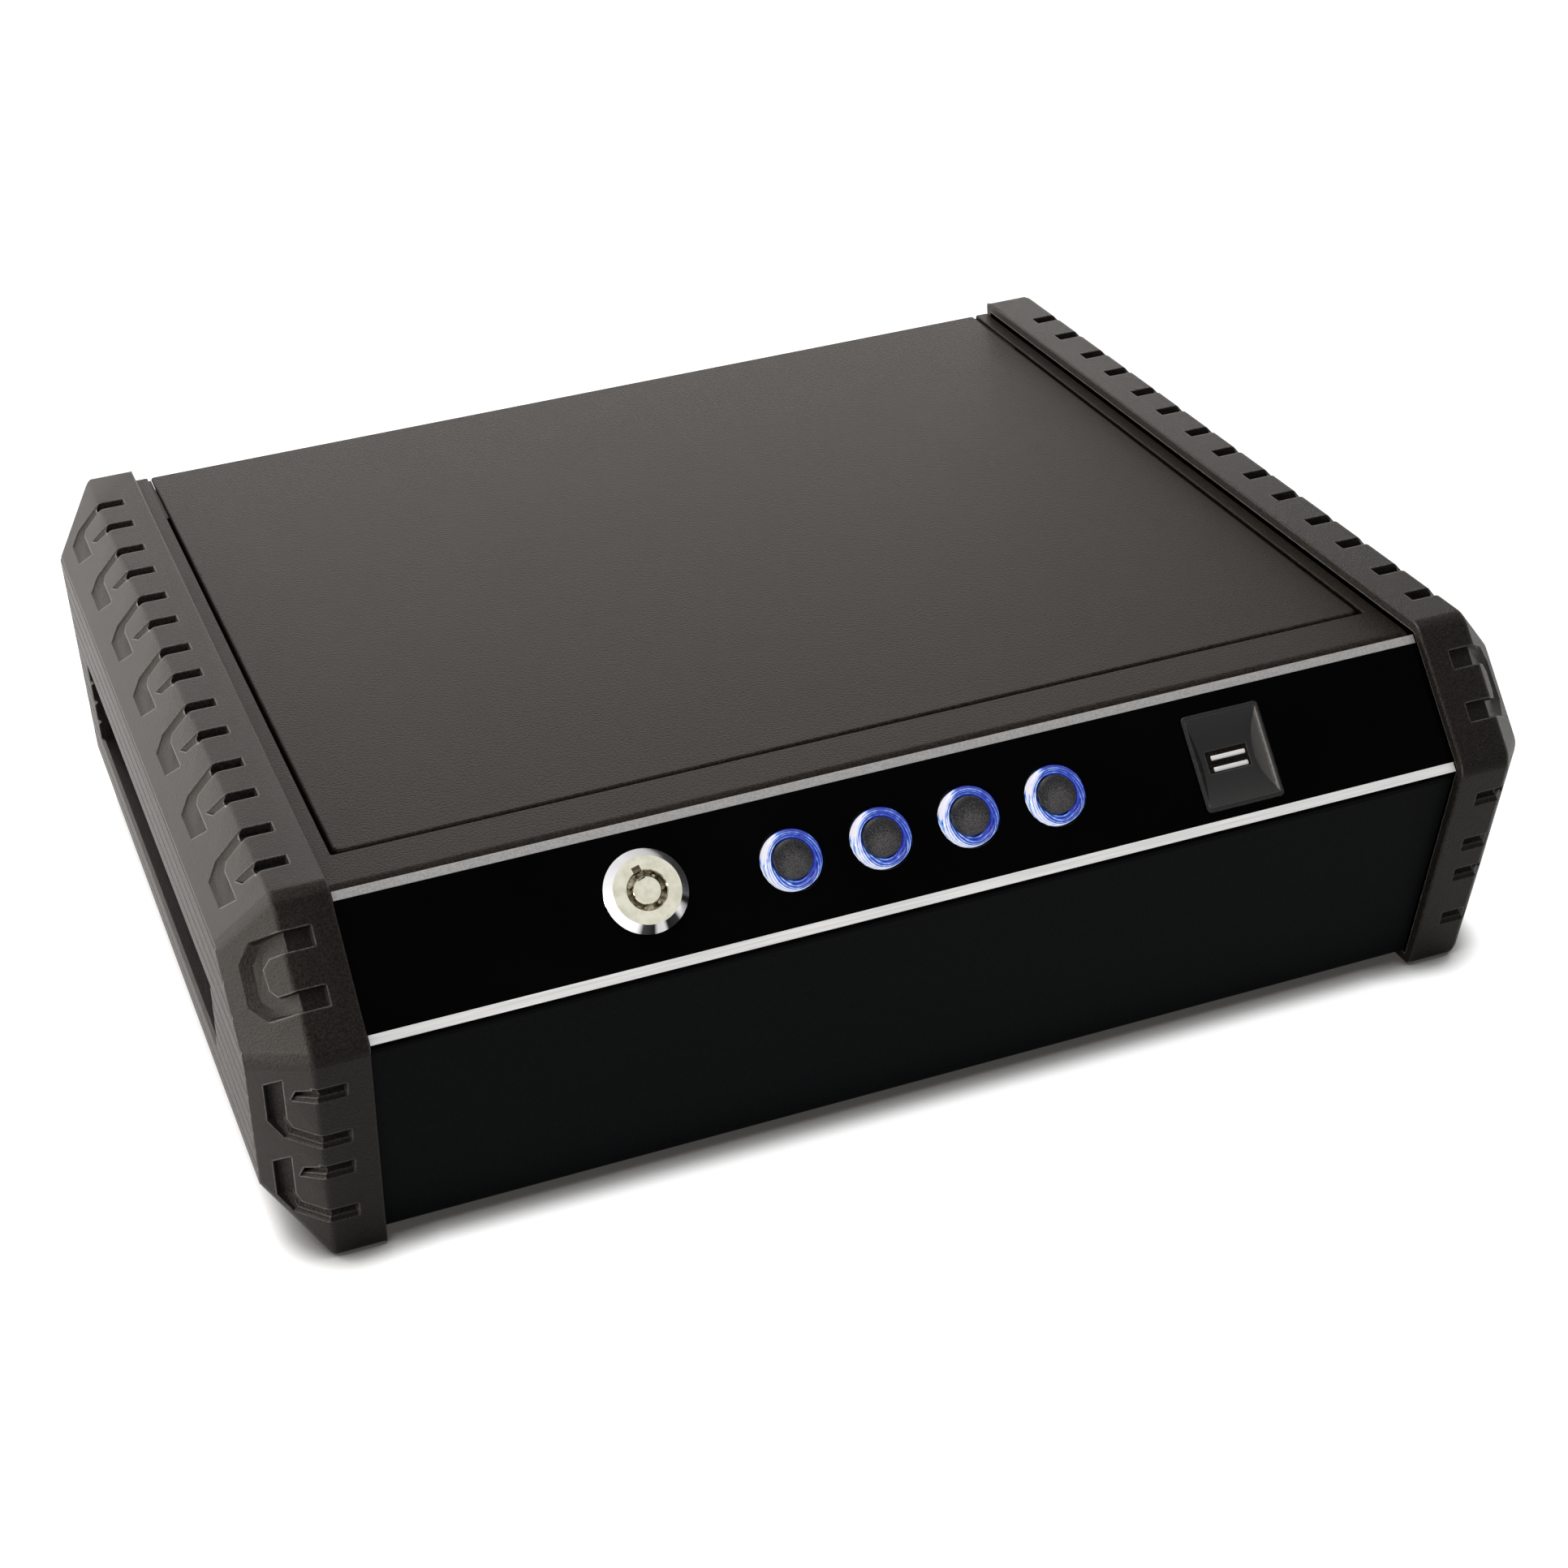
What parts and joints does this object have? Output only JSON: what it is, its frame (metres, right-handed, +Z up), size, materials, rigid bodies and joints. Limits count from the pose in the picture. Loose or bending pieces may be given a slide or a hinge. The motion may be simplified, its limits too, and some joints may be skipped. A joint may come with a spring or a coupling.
{
  "type": "portable car safe",
  "caption": "Low steel safe box with a hinged lid, a sloped fascia with lit push buttons, a tubular key lock and a finger reader, and two plastic side bumpers with hand slots.",
  "frame": {"origin": "on the floor under the middle of the safe", "axes": "+X to the right seen from the front, +Y from the front to the back, +Z up"},
  "size_m": [0.35, 0.3084, 0.1055],
  "materials": {
    "powder_coat": "satin black powder coat with a fine grain",
    "bumper_plastic": "matte black plastic with a fine grain",
    "gloss_black": "high gloss black",
    "silver_trim": "bright satin silver",
    "button_clear": "clear ring that glows blue",
    "button_grey": "smooth dark grey dome",
    "dark_plastic": "satin black",
    "lock_chrome": "polished",
    "bare_steel": "zinc plated",
    "foam": "soft black foam",
    "board_green": "green circuit board",
    "cell_jacket": "plain dark jacket"
  },
  "bodies": {
    "case": {"body_shell": "powder_coat", "hinge_leaf_body": "powder_coat", "hinge_pin": "bare_steel", "lid_spring_left": "bare_steel", "lid_spring_right": "bare_steel", "floor_mat": "foam", "bumper_left": "bumper_plastic", "bumper_right": "bumper_plastic", "bumper_screw_left_1": "bare_steel", "bumper_screw_left_2": "bare_steel", "bumper_screw_left_3": "bare_steel", "bumper_screw_right_1": "bare_steel", "bumper_screw_right_2": "bare_steel", "bumper_screw_right_3": "bare_steel", "fascia_panel": "gloss_black", "trim_strip_upper": "silver_trim", "trim_strip_lower": "silver_trim", "button_ring_1": "button_clear", "button_ring_2": "button_clear", "button_ring_3": "button_clear", "button_ring_4": "button_clear", "button_switch_1": "dark_plastic", "button_switch_2": "dark_plastic", "button_switch_3": "dark_plastic", "button_switch_4": "dark_plastic", "control_board": "board_green", "key_lock_body": "lock_chrome", "key_lock_nut": "bare_steel", "reader_bezel": "dark_plastic", "reader_sensor": "gloss_black", "reader_bar_upper": "silver_trim", "reader_bar_lower": "silver_trim", "reader_board": "board_green", "inner_cover": "powder_coat", "inner_cover_screw_left": "bare_steel", "inner_cover_screw_right": "bare_steel", "battery_holder": "dark_plastic", "battery_1": "cell_jacket", "battery_2": "cell_jacket", "battery_3": "cell_jacket", "battery_4": "cell_jacket", "battery_cover": "dark_plastic", "latch_bracket": "bare_steel", "solenoid_body": "dark_plastic", "return_spring": "bare_steel"},
    "lid": {"lid_panel": "powder_coat", "lid_pad": "foam", "lid_striker": "bare_steel", "hinge_leaf_lid": "powder_coat"},
    "key_core": {"key_lock_plug": "lock_chrome", "key_cam": "bare_steel", "cam_screw": "bare_steel"},
    "bolt": {"latch_bolt": "bare_steel", "solenoid_plunger": "bare_steel"},
    "button_1": {"button_cap_1": "button_grey"},
    "button_2": {"button_cap_2": "button_grey"},
    "button_3": {"button_cap_3": "button_grey"},
    "button_4": {"button_cap_4": "button_grey"}
  },
  "joints": [
    {"name": "lid_hinge", "type": "hinge", "parent": "case", "child": "lid", "pos_m": [0, 0.1506, 0.0962], "axis": [-1, 0, 0], "range_deg": [0, 95]},
    {"name": "key_turn", "type": "hinge", "parent": "case", "child": "key_core", "pos_m": [-0.07262, -0.1385, 0.08793], "axis": [0, 0.7797, -0.6262], "range_deg": [0, 90]},
    {"name": "bolt_slide", "type": "slide", "parent": "case", "child": "bolt", "axis": [1, 0, 0], "range_m": [0, 0.01273], "deforming": ["return_spring"]},
    {"name": "button_1_push", "type": "slide", "parent": "case", "child": "button_1", "axis": [0, 0.7797, -0.6262], "range_m": [0, 0.001], "stiffness_N_per_m": 800},
    {"name": "button_2_push", "type": "slide", "parent": "case", "child": "button_2", "axis": [0, 0.7797, -0.6262], "range_m": [0, 0.001], "stiffness_N_per_m": 800},
    {"name": "button_3_push", "type": "slide", "parent": "case", "child": "button_3", "axis": [0, 0.7797, -0.6262], "range_m": [0, 0.001], "stiffness_N_per_m": 800},
    {"name": "button_4_push", "type": "slide", "parent": "case", "child": "button_4", "axis": [0, 0.7797, -0.6262], "range_m": [0, 0.001], "stiffness_N_per_m": 800}
  ],
  "couplings": [
    {"joint": "key_turn", "follows": "bolt_slide", "rad_per_m": 123.4}
  ]
}
